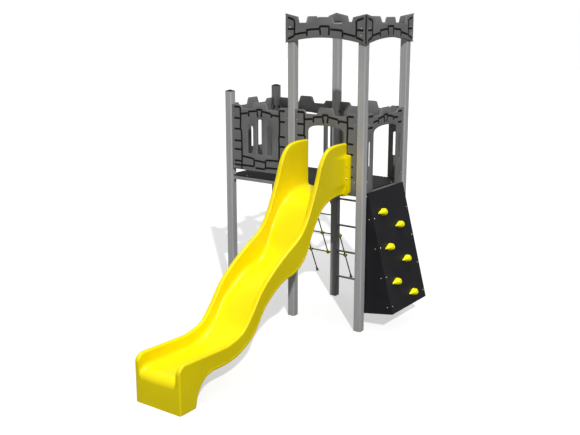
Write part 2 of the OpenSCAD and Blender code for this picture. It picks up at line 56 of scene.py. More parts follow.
view = {
    "place": (5.459, -7.682, 3.427),
    "tilt": 76.33,
    "turn": 35.6,
    "lens": 54.37,
    "sunFrom": (0.574, -0.589, 0.569),
    "sunPower": 1.92,
    "sunSoftness": 1.2,
    "overheadPower": 1.8,   # lights the tower only, so the floor keeps its shadows
    "overheadSoftness": 14.0,
    "skyPower": 0.3,        # what the sky gives; the background itself is plain white
    "lampReach": 10,        # how far off the lamps stand
    "floorReach": 40,
    "floorSeen": 0.97,      # how pale the floor looks
    "floorGlow": 0.49,      # lifts the shadows, for the camera only
    "floorBounce": 0.15,    # how much it throws back on the tower
}


def addSun(name, power, softness, place):
    # a far lamp that shines from its place to the origin
    light = bpy.data.lights.new(name, "SUN")
    light.energy = power
    light.angle = math.radians(softness)
    lamp = bpy.data.objects.new(name, light)
    lamp.location = place
    lamp.rotation_euler = Vector(place).to_track_quat("Z", "Y").to_euler()
    bpy.context.scene.collection.objects.link(lamp)
    return lamp


def buildStage():
    scene = bpy.context.scene
    lens = bpy.data.cameras.new("camera")
    lens.lens = view["lens"]
    lens.sensor_width = 36
    lens.clip_end = 200
    camera = bpy.data.objects.new("camera", lens)
    camera.location = view["place"]
    camera.rotation_euler = (math.radians(view["tilt"]), 0, math.radians(view["turn"]))
    scene.collection.objects.link(camera)
    scene.camera = camera

    addSun("sun", view["sunPower"], view["sunSoftness"], Vector(view["sunFrom"]) * view["lampReach"])
    overhead = addSun("overhead", view["overheadPower"], view["overheadSoftness"], (0, 0, view["lampReach"]))

    world = bpy.data.worlds.new("studio")
    world.use_nodes = True
    sky = world.node_tree.nodes["Background"]
    sky.inputs["Color"].default_value = (1, 1, 1, 1)
    seen = world.node_tree.nodes.new("ShaderNodeLightPath").outputs["Is Camera Ray"]
    plug(world.node_tree, sky.inputs["Strength"], remap(world.node_tree, seen, 0, 1, view["skyPower"], 1))
    scene.world = world
    scene.view_settings.view_transform = "Standard"

    floor = buildFloor()
    unlit = bpy.data.collections.new("notFromOverhead")
    unlit.objects.link(floor)
    unlit.collection_objects[0].light_linking.link_state = "EXCLUDE"
    overhead.light_linking.receiver_collection = unlit
    print("stage ready")


def buildFloor():
    # the floor throws little light back, but the camera sees it pale
    far = view["floorReach"]
    mesh = bpy.data.meshes.new("floor")
    mesh.from_pydata([(-far, -far, 0), (far, -far, 0), (far, far, 0), (-far, far, 0)], [], [(0, 1, 2, 3)])
    paper = bpy.data.materials.new("palePaper")
    paper.use_nodes = True
    shader = paper.node_tree.nodes["Principled BSDF"]
    shader.inputs["Roughness"].default_value = 0.9
    tree = paper.node_tree
    seen = tree.nodes.new("ShaderNodeLightPath").outputs["Is Camera Ray"]
    bounce, pale = ((v, v, v, 1) for v in (view["floorBounce"], view["floorSeen"]))
    plug(tree, shader.inputs["Base Color"], blendColor(tree, seen, bounce, pale))
    shader.inputs["Emission Color"].default_value = (1, 1, 1, 1)
    glow = maths(tree, "MULTIPLY", seen, view["floorGlow"])
    plug(tree, shader.inputs["Emission Strength"], glow)
    shader.inputs["Specular IOR Level"].default_value = 0
    mesh.materials.append(paper)
    return newObject("floor", mesh)


def newShaderGroup(name, inputs, outputs):
    group = bpy.data.node_groups.new(name, "ShaderNodeTree")
    for label, kind, value in inputs:
        socket = group.interface.new_socket(label, in_out="INPUT", socket_type="NodeSocket" + kind)
        socket.default_value = value
    for label, kind in outputs:
        group.interface.new_socket(label, in_out="OUTPUT", socket_type="NodeSocket" + kind)
    return group, group.nodes.new("NodeGroupInput").outputs, group.nodes.new("NodeGroupOutput").inputs


def plug(tree, socket, source):
    if isinstance(source, bpy.types.NodeSocket):
        tree.links.new(source, socket)
    elif source is not None:
        socket.default_value = source


def noise(tree, vector, scale, detail=4.0):
    node = tree.nodes.new("ShaderNodeTexNoise")
    plug(tree, node.inputs["Vector"], vector)
    plug(tree, node.inputs["Scale"], scale)
    node.inputs["Detail"].default_value = detail
    return node.outputs["Fac"]


def remap(tree, value, fromLow, fromHigh, toLow=0.0, toHigh=1.0):
    node = tree.nodes.new("ShaderNodeMapRange")
    plug(tree, node.inputs["Value"], value)
    ends = (("From Min", fromLow), ("From Max", fromHigh), ("To Min", toLow), ("To Max", toHigh))
    for label, number in ends:
        plug(tree, node.inputs[label], number)
    return node.outputs["Result"]


def maths(tree, operation, a, b=None):
    node = tree.nodes.new("ShaderNodeMath")
    node.operation = operation
    plug(tree, node.inputs[0], a)
    plug(tree, node.inputs[1], b)
    return node.outputs[0]


def blendColor(tree, factor, a, b):
    node = tree.nodes.new("ShaderNodeMix")
    node.data_type = "RGBA"
    plug(tree, node.inputs[0], factor)
    plug(tree, node.inputs[6], a)
    plug(tree, node.inputs[7], b)
    return node.outputs[2]


def buildGrainGroup():
    # fine tooth of moulded or sawn plastic, with slow changes of tone
    group, given, result = newShaderGroup(
        "grain",
        [("Vector", "Vector", (0, 0, 0)), ("Stretch", "Vector", (1, 1, 1)),
         ("Tooth Scale", "Float", 400.0), ("Tone Scale", "Float", 3.0)],
        [("Tooth", "Float"), ("Tone", "Float")],
    )
    scaled = group.nodes.new("ShaderNodeVectorMath")
    scaled.operation = "MULTIPLY"
    group.links.new(given["Vector"], scaled.inputs[0])
    group.links.new(given["Stretch"], scaled.inputs[1])
    group.links.new(noise(group, scaled.outputs[0], given["Tooth Scale"], 2.0), result["Tooth"])
    clouds = noise(group, scaled.outputs[0], given["Tone Scale"], 6.0)
    group.links.new(remap(group, clouds, 0.3, 0.7), result["Tone"])
    return group


def buildScuffGroup():
    # thin scratches in two directions, broken up into patches
    group, given, result = newShaderGroup(
        "scuffs",
        [("Vector", "Vector", (0, 0, 0)), ("Scale", "Float", 6.0), ("Amount", "Float", 0.3)],
        [("Mask", "Float")],
    )
    lines = []
    for turn, squeeze in ((0.35, (1, 14, 14)), (1.25, (14, 1, 12))):
        mapping = group.nodes.new("ShaderNodeMapping")
        mapping.inputs["Rotation"].default_value = (0.2, turn, turn)
        mapping.inputs["Scale"].default_value = squeeze
        group.links.new(given["Vector"], mapping.inputs["Vector"])
        lines.append(remap(group, noise(group, mapping.outputs["Vector"], given["Scale"], 3.0), 0.66, 0.72))
    patches = remap(group, noise(group, given["Vector"], 2.2, 3.0), 0.45, 0.65)
    broken = maths(group, "MULTIPLY", maths(group, "MAXIMUM", *lines), patches)
    group.links.new(maths(group, "MULTIPLY", broken, given["Amount"]), result["Mask"])
    return group


def buildDustGroup():
    # splashed dirt that thins out upward from the ground
    group, given, result = newShaderGroup(
        "groundDust",
        [("Vector", "Vector", (0, 0, 0)), ("Reach", "Float", 0.3), ("Amount", "Float", 0.4)],
        [("Mask", "Float")],
    )
    split = group.nodes.new("ShaderNodeSeparateXYZ")
    group.links.new(given["Vector"], split.inputs[0])
    low = remap(group, maths(group, "DIVIDE", split.outputs["Z"], given["Reach"]), 0.0, 1.0, 1.0, 0.0)
    specks = remap(group, noise(group, given["Vector"], 38.0, 5.0), 0.35, 0.7)
    dust = maths(group, "MULTIPLY", low, specks)
    group.links.new(maths(group, "MULTIPLY", dust, given["Amount"]), result["Mask"])
    return group


# Each finish: colour where dark and where light, roughness range, and how worn it is.
# A finish is neither metal nor dusty unless it says so.
finishes = {
    "postMetal": dict(
        dark=(0.49, 0.492, 0.495), light=(0.59, 0.592, 0.595), rough=(0.36, 0.5), metal=0.12, tooth=150,
        tone=5, stretch=(9, 9, 0.35), bump=0.10, scuff=0.25, scuffColor=(0.5, 0.5, 0.5), dust=0.35),
    "beamMetal": dict(
        dark=(0.36, 0.365, 0.37), light=(0.45, 0.455, 0.46), rough=(0.35, 0.5), metal=0.25, tooth=150,
        tone=5, stretch=(1, 1, 6), bump=0.10, scuff=0.3, scuffColor=(0.6, 0.6, 0.6)),
    "capBlack": dict(
        dark=(0.006, 0.006, 0.007), light=(0.012, 0.012, 0.013), rough=(0.4, 0.55), tooth=700, tone=8,
        bump=0.2, scuff=0.15, scuffColor=(0.04, 0.04, 0.04)),
    "panelGrey": dict(
        dark=(0.185, 0.186, 0.188), light=(0.215, 0.216, 0.218), rough=(0.5, 0.66), tooth=520, tone=4,
        bump=0.22, scuff=0.22, scuffColor=(0.24, 0.24, 0.24)),
    # the panels' bevelled edges: a paler grey than the faces, a painted highlight along every edge
    "panelEdgePaintedHighlight": dict(
        dark=(0.38, 0.38, 0.385), light=(0.48, 0.48, 0.485), rough=(0.45, 0.6), tooth=300, tone=12,
        bump=0.15, scuff=0.3, scuffColor=(0.4, 0.4, 0.4)),
    "grooveBlack": dict(
        dark=(0.006, 0.006, 0.006), light=(0.012, 0.012, 0.012), rough=(0.65, 0.8), tooth=600, tone=10,
        bump=0.2, scuff=0.0, scuffColor=(0.1, 0.1, 0.1)),
    "slideYellow": dict(
        dark=(0.90, 0.73, 0.0), light=(0.97, 0.80, 0.0), rough=(0.26, 0.4), tooth=260, tone=2.2,
        bump=0.06, scuff=0.16, scuffColor=(0.98, 0.9, 0.35), dust=0.08, coat=0.12, shine=0.3),
    "holdYellow": dict(
        dark=(0.95, 0.88, 0.0), light=(0.99, 0.95, 0.0), rough=(0.38, 0.55), tooth=420, tone=16,
        bump=0.35, scuff=0.2, scuffColor=(0.6, 0.5, 0.1), coat=0.05, shine=0.25),
    "boardCharcoal": dict(
        dark=(0.010, 0.010, 0.013), light=(0.016, 0.016, 0.020), rough=(0.5, 0.68), tooth=520, tone=4,
        bump=0.25, scuff=0.12, scuffColor=(0.045, 0.045, 0.05), dust=0.06),
    "boardEdge": dict(
        dark=(0.05, 0.05, 0.052), light=(0.085, 0.085, 0.09), rough=(0.4, 0.55), tooth=300, tone=12,
        bump=0.15, scuff=0.3, scuffColor=(0.2, 0.2, 0.2), dust=0.2),
    "rungMetal": dict(
        dark=(0.5, 0.502, 0.506), light=(0.6, 0.602, 0.606), rough=(0.34, 0.5), metal=0.1, tooth=300,
        tone=10, bump=0.12, scuff=0.4, scuffColor=(0.42, 0.42, 0.43), dust=0.2),
    "boltSteel": dict(
        dark=(0.5, 0.5, 0.5), light=(0.66, 0.66, 0.66), rough=(0.25, 0.4), metal=0.8, tooth=500,
        tone=40, bump=0.1, scuff=0.3, scuffColor=(0.8, 0.8, 0.8)),
    "bracketSteel": dict(
        dark=(0.22, 0.22, 0.23), light=(0.32, 0.32, 0.33), rough=(0.35, 0.5), metal=0.7, tooth=260,
        tone=14, bump=0.12, scuff=0.3, scuffColor=(0.5, 0.5, 0.5), dust=0.2),
    "clampYellow": dict(
        dark=(0.88, 0.78, 0.0), light=(0.96, 0.88, 0.0), rough=(0.35, 0.5), tooth=420, tone=20,
        bump=0.15, scuff=0.3, scuffColor=(0.45, 0.36, 0.1), dust=0.2),
}
dustColor = (0.30, 0.27, 0.22, 1)
bumpDistance = 0.6 * mm
made = {}


def startFinish(name, values, groups):
    material = bpy.data.materials.new(name)
    material.use_nodes = True
    tree = material.node_tree
    shader = tree.nodes["Principled BSDF"]
    shader.inputs["Metallic"].default_value = values.get("metal", 0)
    shader.inputs["Coat Weight"].default_value = values.get("coat", 0)
    shader.inputs["Specular IOR Level"].default_value = values.get("shine", 0.35)
    place = tree.nodes.new("ShaderNodeTexCoord").outputs["Object"]
    placed = {}
    for label, group in groups.items():
        placed[label] = tree.nodes.new("ShaderNodeGroup")
        placed[label].node_tree = group
        tree.links.new(place, placed[label].inputs["Vector"])
    grain = placed["grain"]
    grain.inputs["Stretch"].default_value = values.get("stretch", (1, 1, 1))
    grain.inputs["Tooth Scale"].default_value = values["tooth"]
    grain.inputs["Tone Scale"].default_value = values["tone"]
    placed["scuffs"].inputs["Amount"].default_value = values["scuff"]
    placed["groundDust"].inputs["Amount"].default_value = values.get("dust", 0)
    color = blendColor(tree, grain.outputs["Tone"], values["dark"] + (1,), values["light"] + (1,))
    color = blendColor(tree, placed["scuffs"].outputs["Mask"], color, values["scuffColor"] + (1,))
    color = blendColor(tree, placed["groundDust"].outputs["Mask"], color, dustColor)
    return material, tree, shader, place, placed, color


def endFinish(tree, shader, color, roughness, height, bumpStrength):
    tree.links.new(color, shader.inputs["Base Color"])
    tree.links.new(roughness, shader.inputs["Roughness"])
    bump = tree.nodes.new("ShaderNodeBump")
    bump.inputs["Strength"].default_value = bumpStrength
    bump.inputs["Distance"].default_value = bumpDistance
    tree.links.new(height, bump.inputs["Height"])
    tree.links.new(bump.outputs["Normal"], shader.inputs["Normal"])


def buildFinishes():
    groups = {"grain": buildGrainGroup(), "scuffs": buildScuffGroup(), "groundDust": buildDustGroup()}
    for name, values in finishes.items():
        material, tree, shader, _, placed, color = startFinish(name, values, groups)
        roughness = remap(tree, placed["grain"].outputs["Tone"], 0, 1, *values["rough"])
        rubbed = maths(tree, "MULTIPLY", placed["scuffs"].outputs["Mask"], 0.4)
        roughness = maths(tree, "ADD", roughness, rubbed)
        endFinish(tree, shader, color, roughness, placed["grain"].outputs["Tooth"], values["bump"])
        made[name] = material
    made["deckBlack"] = buildDeckFinish(groups)
    made["ropeBlack"] = buildRopeFinish(groups)
    print("finishes ready:", len(made))


deckFinish = dict(
    dark=(0.007, 0.007, 0.008), light=(0.012, 0.012, 0.014), rough=(0.5, 0.7), tooth=340, tone=5,
    bump=0.5, scuff=0.2, scuffColor=(0.04, 0.04, 0.042), studSpacing=0.022)


def buildDeckFinish(groups):
    # rows of small studs stand on the non-slip plate
    material, tree, shader, place, placed, color = startFinish("deckBlack", deckFinish, groups)
    studs = tree.nodes.new("ShaderNodeTexVoronoi")
    studs.inputs["Scale"].default_value = 1 / deckFinish["studSpacing"]
    studs.inputs["Randomness"].default_value = 0
    tree.links.new(place, studs.inputs["Vector"])
    stud = remap(tree, studs.outputs["Distance"], 0.22, 0.34, 1.0, 0.0)
    color = blendColor(tree, maths(tree, "MULTIPLY", stud, 0.5), color, (0.025, 0.025, 0.028, 1))
    roughness = remap(tree, placed["grain"].outputs["Tone"], 0, 1, *deckFinish["rough"])
    height = maths(tree, "ADD", stud, maths(tree, "MULTIPLY", placed["grain"].outputs["Tooth"], 0.4))
    endFinish(tree, shader, color, roughness, height, deckFinish["bump"])
    return material


ropeFinish = dict(
    dark=(0.004, 0.004, 0.005), light=(0.010, 0.010, 0.011), rough=(0.7, 0.9), tooth=900, tone=30,
    bump=0.6, scuff=0.1, scuffColor=(0.03, 0.03, 0.03), dust=0.08)


def buildRopeFinish(groups):
    # yarns run round the strands, a little paler where they rub
    material, tree, shader, place, placed, color = startFinish("ropeBlack", ropeFinish, groups)
    yarns = tree.nodes.new("ShaderNodeTexWave")
    yarns.inputs["Scale"].default_value = 160
    yarns.inputs["Distortion"].default_value = 1.5
    tree.links.new(place, yarns.inputs["Vector"])
    worn = maths(tree, "MULTIPLY", yarns.outputs["Fac"], 0.35)
    color = blendColor(tree, worn, color, (0.018, 0.018, 0.02, 1))
    roughness = remap(tree, placed["grain"].outputs["Tone"], 0, 1, *ropeFinish["rough"])
    height = maths(tree, "ADD", yarns.outputs["Fac"], placed["grain"].outputs["Tooth"])
    endFinish(tree, shader, color, roughness, height, ropeFinish["bump"])
    return material


weldGap = 0.02 * mm  # corners nearer than this are one corner


def newObject(name, mesh):
    item = bpy.data.objects.new(name, mesh)
    bpy.context.scene.collection.objects.link(item)
    return item


def meshFrom(name, form):
    mesh = bpy.data.meshes.new(name)
    form.to_mesh(mesh)
    form.free()
    return mesh


def bake(item):
    # turns what the modifiers make into the piece's own mesh
    depsgraph = bpy.context.evaluated_depsgraph_get()
    mesh = bpy.data.meshes.new_from_object(item.evaluated_get(depsgraph))
    item.modifiers.clear()
    item.data = mesh
    return item


def smoothBy(mesh, degrees):
    mesh.polygons.foreach_set("use_smooth", [True] * len(mesh.polygons))
    mesh.set_sharp_from_angle(angle=math.radians(degrees))


def finishPiece(item, slotName, *replaced):
    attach(item, "root")
    if replaced:
        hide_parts(*replaced)
    return item


def cleanCopy(nodeName):
    # a node's mesh with its loose triangles joined into flat faces
    form = bmesh.new()
    form.from_mesh(nodes[nodeName].data)
    bmesh.ops.remove_doubles(form, verts=form.verts, dist=weldGap)
    bmesh.ops.dissolve_limit(form, angle_limit=math.radians(1), verts=form.verts, edges=form.edges)
    form.verts.index_update()
    mesh = bpy.data.meshes.new(nodeName + "Shape")
    faces = [[v.index for v in face.verts] for face in form.faces]
    mesh.from_pydata([v.co[:] for v in form.verts], [], faces)
    form.free()
    return mesh


def addBevel(item, width, segments=2, degrees=40, finishIndex=-1, harden=False):
    # rounds the edges sharper than the angle; finishIndex is the material of the rounding
    bevel = item.modifiers.new("edges", "BEVEL")
    bevel.width = width
    bevel.segments = segments
    bevel.limit_method = "ANGLE"
    bevel.angle_limit = math.radians(degrees)
    bevel.material = finishIndex
    bevel.harden_normals = harden


def newTree(name, inputs):
    tree = bpy.data.node_groups.new(name, "GeometryNodeTree")
    tree.interface.new_socket("Geometry", in_out="INPUT", socket_type="NodeSocketGeometry")
    for label, kind, value in inputs:
        socket = tree.interface.new_socket(label, in_out="INPUT", socket_type="NodeSocket" + kind)
        if value is not None:
            socket.default_value = value
    tree.interface.new_socket("Geometry", in_out="OUTPUT", socket_type="NodeSocketGeometry")
    return tree, tree.nodes.new("NodeGroupInput").outputs, tree.nodes.new("NodeGroupOutput").inputs


def endTree(tree, shape, finish, result):
    realize = tree.nodes.new("GeometryNodeRealizeInstances")
    setFinish = tree.nodes.new("GeometryNodeSetMaterial")
    tree.links.new(shape, realize.inputs["Geometry"])
    tree.links.new(realize.outputs["Geometry"], setFinish.inputs["Geometry"])
    tree.links.new(finish, setFinish.inputs["Material"])
    tree.links.new(setFinish.outputs["Geometry"], result["Geometry"])


def runTree(item, tree, **values):
    modifier = item.modifiers.new(tree.name, "NODES")
    modifier.node_group = tree
    for socket in tree.interface.items_tree:
        label = socket.name.replace(" ", "")
        if socket.in_out == "INPUT" and label in values:
            modifier[socket.identifier] = values[label]
    return bake(item)


panels = {
    "grooveWidth": 24 * mm,
    "grooveDepth": 5.0 * mm,
    "edgeBevel": 5.0 * mm,
    "sag": 0.016,  # how far a stone's line bows, as a share of its length
}

# Engraved lines, each as its two ends in millimetres: across from the bay's middle, and up
# from the deck, or for the crown from its lowest point.
quoins = {
    "left": [(-274, 785, -274, 533), (-261, 533, -261, 84), (-360, 782, -274, 782), (-360, 655, -274, 655),
             (-360, 533, -261, 533), (-360, 400, -261, 400), (-360, 302, -261, 302),
             (-360, 170, -261, 170), (-360, 124, -261, 124)],
    "right": [(268, 775, 268, 492), (262, 492, 262, 146), (268, 775, 345, 775), (268, 657, 345, 657),
              (262, 492, 345, 492), (262, 383, 345, 383), (262, 254, 345, 254), (262, 146, 345, 146)],
}
archStones = [(-263, 707, -166, 720), (-160, 736, -49, 750), (-41, 767, 33, 770), (-41, 767, -25, 682),
              (33, 770, 23, 688), (42, 750, 155, 734), (161, 720, 262, 713), (-154, 736, -154, 683),
              (161, 732, 161, 691)]
sillStones = [(-251, 229, -86, 212), (-79, 195, 69, 187), (83, 212, 265, 218), (-83, 212, -83, 125),
              (76, 212, 76, 110), (-266, 124, -87, 126), (-65, 111, 69, 108), (83, 126, 265, 130)]
jambMarks = [(-360, 775, -268, 775), (-360, 657, -268, 657), (268, 775, 345, 775), (268, 657, 345, 657)]
crownStones = [(-461, 259, -383, 235), (-461, 141, -378, 143), (-461, 39, -378, 72),
               (-378, 235, -378, 72), (-371, 87, -231, 110), (-225, 135, -70, 147), (-64, 173, 57, 174),
               (-64, 173, -51, 87), (57, 174, 53, 87), (70, 145, 220, 133), (226, 108, 362, 81),
               (-220, 135, -220, 74), (215, 130, 215, 68), (461, 259, 383, 235), (461, 141, 376, 143),
               (461, 39, 376, 72), (376, 235, 376, 72), (-496, 8, -496, 290), (496, 8, 496, 290)]


def bowedStroke(stroke, steps=6):
    # a stone's line bows a little upward
    a, b = Vector(stroke[:2]), Vector(stroke[2:])
    across = b - a
    side = Vector((-across.y, across.x)) * panels["sag"]
    if side.y < 0:
        side = -side
    shares = [i / steps for i in range(steps + 1)]
    return [a + across * t + side * (4 * t * (1 - t)) for t in shares]


def lineMesh(name, strokes, place, out):
    points, edges = [], []
    for stroke in strokes:
        path = [place(p.x * mm, p.y * mm, out) for p in bowedStroke(stroke)]
        edges += [(len(points) + i, len(points) + i + 1) for i in range(len(path) - 1)]
        points += path
    mesh = bpy.data.meshes.new(name)
    mesh.from_pydata(points, edges, [])
    return mesh


def buildSweepTree():
    # a round tool follows every line
    tree, given, result = newTree("engravingTool", [
        ("Tool Radius", "Float", 0.005), ("Sides", "Int", 8), ("Finish", "Material", None)])
    toCurve = tree.nodes.new("GeometryNodeMeshToCurve")
    circle = tree.nodes.new("GeometryNodeCurvePrimitiveCircle")
    sweep = tree.nodes.new("GeometryNodeCurveToMesh")
    sweep.inputs["Fill Caps"].default_value = True
    tree.links.new(given["Geometry"], toCurve.inputs["Mesh"])
    tree.links.new(given["Sides"], circle.inputs["Resolution"])
    tree.links.new(given["Tool Radius"], circle.inputs["Radius"])
    tree.links.new(toCurve.outputs["Curve"], sweep.inputs["Curve"])
    tree.links.new(circle.outputs["Curve"], sweep.inputs["Profile Curve"])
    endTree(tree, sweep.outputs["Mesh"], given["Finish"], result)
    return tree


def sidePlace(side, leftPost, face, foot):
    # turns a place on a panel (across, up, out) into the frame: side 0 front, 1 right, 2 back, 3 left
    half = tower["bay"] / 2
    middle = Vector((leftPost + half, half))
    turn = Matrix.Rotation(math.radians(90 * side), 2)

    def place(across, up, out):
        flat = middle + turn @ Vector((across, -half - face - out))
        return (flat.x, flat.y, foot + up)

    return place


def engravedPanel(nodeName, strokes, place, sweepTree):
    # the round tool sinks until its cut has the groove's width and depth
    depth = panels["grooveDepth"]
    radius = (panels["grooveWidth"] ** 2 / 4 + depth ** 2) / (2 * depth)
    stand = radius - depth
    tool = newObject(nodeName + "Tool", lineMesh(nodeName + "Lines", strokes, place, stand))
    runTree(tool, sweepTree, ToolRadius=radius, Sides=10, Finish=made["grooveBlack"])
    panel = newObject(nodeName.title().replace("_", ""), cleanCopy(nodeName))
    # the bevels take the paler grey, a painted highlight along the panels' edges
    for finish in ("panelGrey", "panelEdgePaintedHighlight"):
        panel.data.materials.append(made[finish])
    addBevel(panel, panels["edgeBevel"], 2, 40, 1)
    bake(panel)
    cut = panel.modifiers.new("engraving", "BOOLEAN")
    cut.operation = "DIFFERENCE"
    cut.solver = "EXACT"
    cut.use_self = True
    cut.material_mode = "TRANSFER"
    cut.object = tool
    bake(panel)
    bpy.data.objects.remove(tool)
    # only the bevels and grooves are smooth, so the flat faces stay flat
    panel.data.polygons.foreach_set("use_smooth", [p.material_index > 0 for p in panel.data.polygons])
    panel.data.set_sharp_from_angle(angle=math.radians(30))
    finishPiece(panel, "panel_grey", nodeName)


def buildPanels():
    sweepTree = buildSweepTree()
    bay = tower["bay"]
    both = quoins["left"] + quoins["right"]
    for nodeName, side, leftPost, strokes in (
        ("window_panel_front", 0, -bay, both + archStones + sillStones),
        ("window_panel_end", 3, -bay, both + archStones + sillStones),
        ("slide_doorway", 0, 0, both + archStones),
        ("wall_doorway", 1, 0, jambMarks + archStones),
        ("ladder_doorway", 2, 0, jambMarks + archStones),
        ("net_doorway", 2, -bay, jambMarks + archStones),
    ):
        place = sidePlace(side, leftPost, tower["panelFace"], tower["deckTop"])
        engravedPanel(nodeName, strokes, place, sweepTree)
    for side, nodeName in enumerate(("crown_front", "crown_right", "crown_back", "crown_left")):
        place = sidePlace(side, 0, tower["crownFace"], tower["crownFoot"])
        engravedPanel(nodeName, crownStones, place, sweepTree)
    print("panels engraved")


slide = {
    "middle": 0.435,       # across, from the origin
    "face": -0.026,        # the panel face that the slide starts from
    "run": 2614, "deck": 1530, "exit": 318, "rimAtExit": 137, "hood": 500,
    "halfWidth": 266, "wall": 48, "bed": 35, "lip": 14.5,
    "noseRadius": 95, "rimEndRadius": 85, "footLength": 204, "footRadius": 280,
    "rimRadius": 19, "fillet": 45, "lowerEdge": 9, "frontCorner": 16,
    "dish": 5,             # the bed sinks this much between its walls
    "sideLine": 4,         # depth of the line along the outer side's lower edge
    "lineHeights": (16, 19, 25, 28),  # across the line, up from the lower edge's rounding
    "sideFoot": 32, "sideRows": 30,   # where the plain side starts, and its rows of points
    "lineStop": 330, "lineFade": 60,  # the line ends this far before the slide's end
    "flangeHalf": 326, "flangeTop": 384, "flangeDepth": 40, "flangeLap": 4,
    "flangeCorner": 24, "flangeFoot": 80, "flangeLow": 20, "flangeStart": 6, "flangeGap": 0.2,
    "swelling": 18, "swellingLength": 285,
    "swellingFoot": 30, "swellingFade": 45, "swellingTop": 375, "swellingTopFade": 12,
    # share of the run, share of the drop left
    "bedKnots": [(0.067, 1), (0.122, 0.978), (0.174, 0.923), (0.211, 0.845), (0.254, 0.711),
                 (0.292, 0.562), (0.352, 0.471), (0.422, 0.443), (0.488, 0.375), (0.552, 0.271),
                 (0.611, 0.112), (0.666, 0.037),
                 (0.719, -0.002), (0.793, -0.015), (0.9636, 0)],
    # the same, and the share of the hood's height left
    "rimKnots": [(0, 1, 1), (0.078, 1, 1), (0.132, 0.985, 0.95), (0.172, 0.93, 0.82),
                 (0.2, 0.87, 0.53), (0.233, 0.79, 0.3), (0.269, 0.66, 0.25), (0.319, 0.515, 0.34),
                 (0.403, 0.455, 0.22), (0.484, 0.38, 0.12), (0.556, 0.26, 0.12), (0.61, 0.12, 0.12),
                 (0.667, 0.035, 0), (0.736, -0.01, 0), (0.793, -0.015, 0), (0.9675, 0, 0)],
}


def smoothCurve(knots, steps):
    # a Catmull-Rom curve through the knots
    points = [np.array(k, float) for k in knots]
    path = []
    for i in range(len(points) - 1):
        a, b, c, d = points[max(i - 1, 0)], points[i], points[i + 1], points[min(i + 2, len(points) - 1)]
        for j in range(steps):
            t = j / steps
            bend, twist = 2 * a - 5 * b + 4 * c - d, 3 * b - a - 3 * c + d
            path.append((2 * b + (c - a) * t + bend * t * t + twist * t ** 3) / 2)
    return np.array(path + [points[-1]])


def besideCurve(path, distance):
    along = np.gradient(path, axis=0)
    along /= np.linalg.norm(along, axis=1)[:, None]
    return path + distance * np.stack([along[:, 1], -along[:, 0]], 1)


def arcPoints(middle, radius, start, end, steps):
    angles = np.radians(np.linspace(start, end, steps + 1))
    return np.stack([middle[0] + radius * np.cos(angles), middle[1] + radius * np.sin(angles)], 1)


def slideLines():
    # side views, as distance out and height: the bed, the rim, and the undersides of bed and walls
    s = slide
    run, drop, deck, low = s["run"], s["deck"] - s["exit"], s["deck"], s["exit"]
    bed = smoothCurve([(run * a, low + drop * b) for a, b in s["bedKnots"]], 8)
    bed = np.vstack([[-s["lip"], deck], [0, deck], [60, deck], [120, deck], bed])
    bend = s["noseRadius"]
    nose = arcPoints((run - bend, low - bend), bend, 88, 0, 14)
    rim = smoothCurve([(run * a, low + drop * b + s["rimAtExit"] * (1 - c) + s["hood"] * c)
                       for a, b, c in s["rimKnots"]], 8)
    bend = s["rimEndRadius"]
    rimEnd = arcPoints((run - bend, low + s["rimAtExit"] - bend), bend, 88, 0, 14)
    top = np.vstack([bed, nose])
    below = besideCurve(top, s["bed"])
    footMiddle = run - s["footLength"] - s["footRadius"]
    footBack = arcPoints((footMiddle, 0), s["footRadius"], 62, 0, 16)
    outer = np.vstack([below[below[:, 0] < footBack[0, 0] - 40], footBack])
    return top, np.vstack([rim, rimEnd]), below, outer


def eased(t):
    # 0 to 1 with a soft start and end
    t = min(max(t, 0.0), 1.0)
    return t * t * (3 - 2 * t)


def slideSection(out, bedTop, rimTop, bedUnder, wallUnder):
    # half a section across the slide, from the middle below round to the middle of the bed
    s = slide
    corner = max(out - (s["run"] - s["frontCorner"]), 0)
    half = s["halfWidth"] - (s["frontCorner"] - math.sqrt(max(s["frontCorner"] ** 2 - corner ** 2, 0)))
    inner = s["halfWidth"] - s["wall"]
    low, fillet = s["lowerEdge"], s["fillet"]
    rimR = min(s["rimRadius"], (half - inner) / 2 - 0.2)
    points = [(0, bedUnder), (inner, bedUnder), (inner, wallUnder)]
    points += [tuple(p) for p in arcPoints((half - low, wallUnder + low), low, -90, 0, 4)]
    swell = s["swelling"] * (1 - eased(out / s["swellingLength"]))
    bottom, top = wallUnder + low, rimTop - rimR
    line = s["sideLine"] * eased((s["run"] - s["lineStop"] - out) / s["lineFade"])
    sides = (half, half - line, half - line, half)
    points += [(side, bottom + rise) for side, rise in zip(sides, s["lineHeights"])]
    bottom += s["sideFoot"]
    for i in range(s["sideRows"]):
        up = bottom + (top - bottom) * i / s["sideRows"]
        rise = eased((up - s["deck"] - s["swellingFoot"]) / s["swellingFade"])
        rise *= eased((s["deck"] + s["swellingTop"] - up) / s["swellingTopFade"])
        points.append((half + swell * rise, up))
    points += [tuple(p) for p in arcPoints((half - rimR, top), rimR, 0, 90, 6)]
    points += [tuple(p) for p in arcPoints((inner + rimR, top), rimR, 90, 180, 6)]
    points += [(inner, top + (bedTop + fillet - top) * i / 8) for i in range(1, 8)]
    points += [tuple(p) for p in arcPoints((inner - fillet, bedTop + fillet), fillet, 0, -90, 8)]
    flat = inner - fillet
    shares = [1 - i / 6 for i in range(1, 7)]
    points += [(flat * share, bedTop - s["dish"] * (1 - share ** 2)) for share in shares]
    return points


def slideStations(frontPlate):
    # distances out at which a section stands: even along the run, closer round the nose
    run, nose = slide["run"], slide["noseRadius"]
    stations = list(np.linspace(0, run - nose, 230))
    stations += [run - nose + nose * math.sin(math.radians(a)) for a in range(6, 91, 4)]
    return sorted([d for d in stations if abs(d - frontPlate) > 1] + [frontPlate, frontPlate + 0.02, run])


def heightAt(line, out):
    return np.interp(out, line[:, 0], line[:, 1])


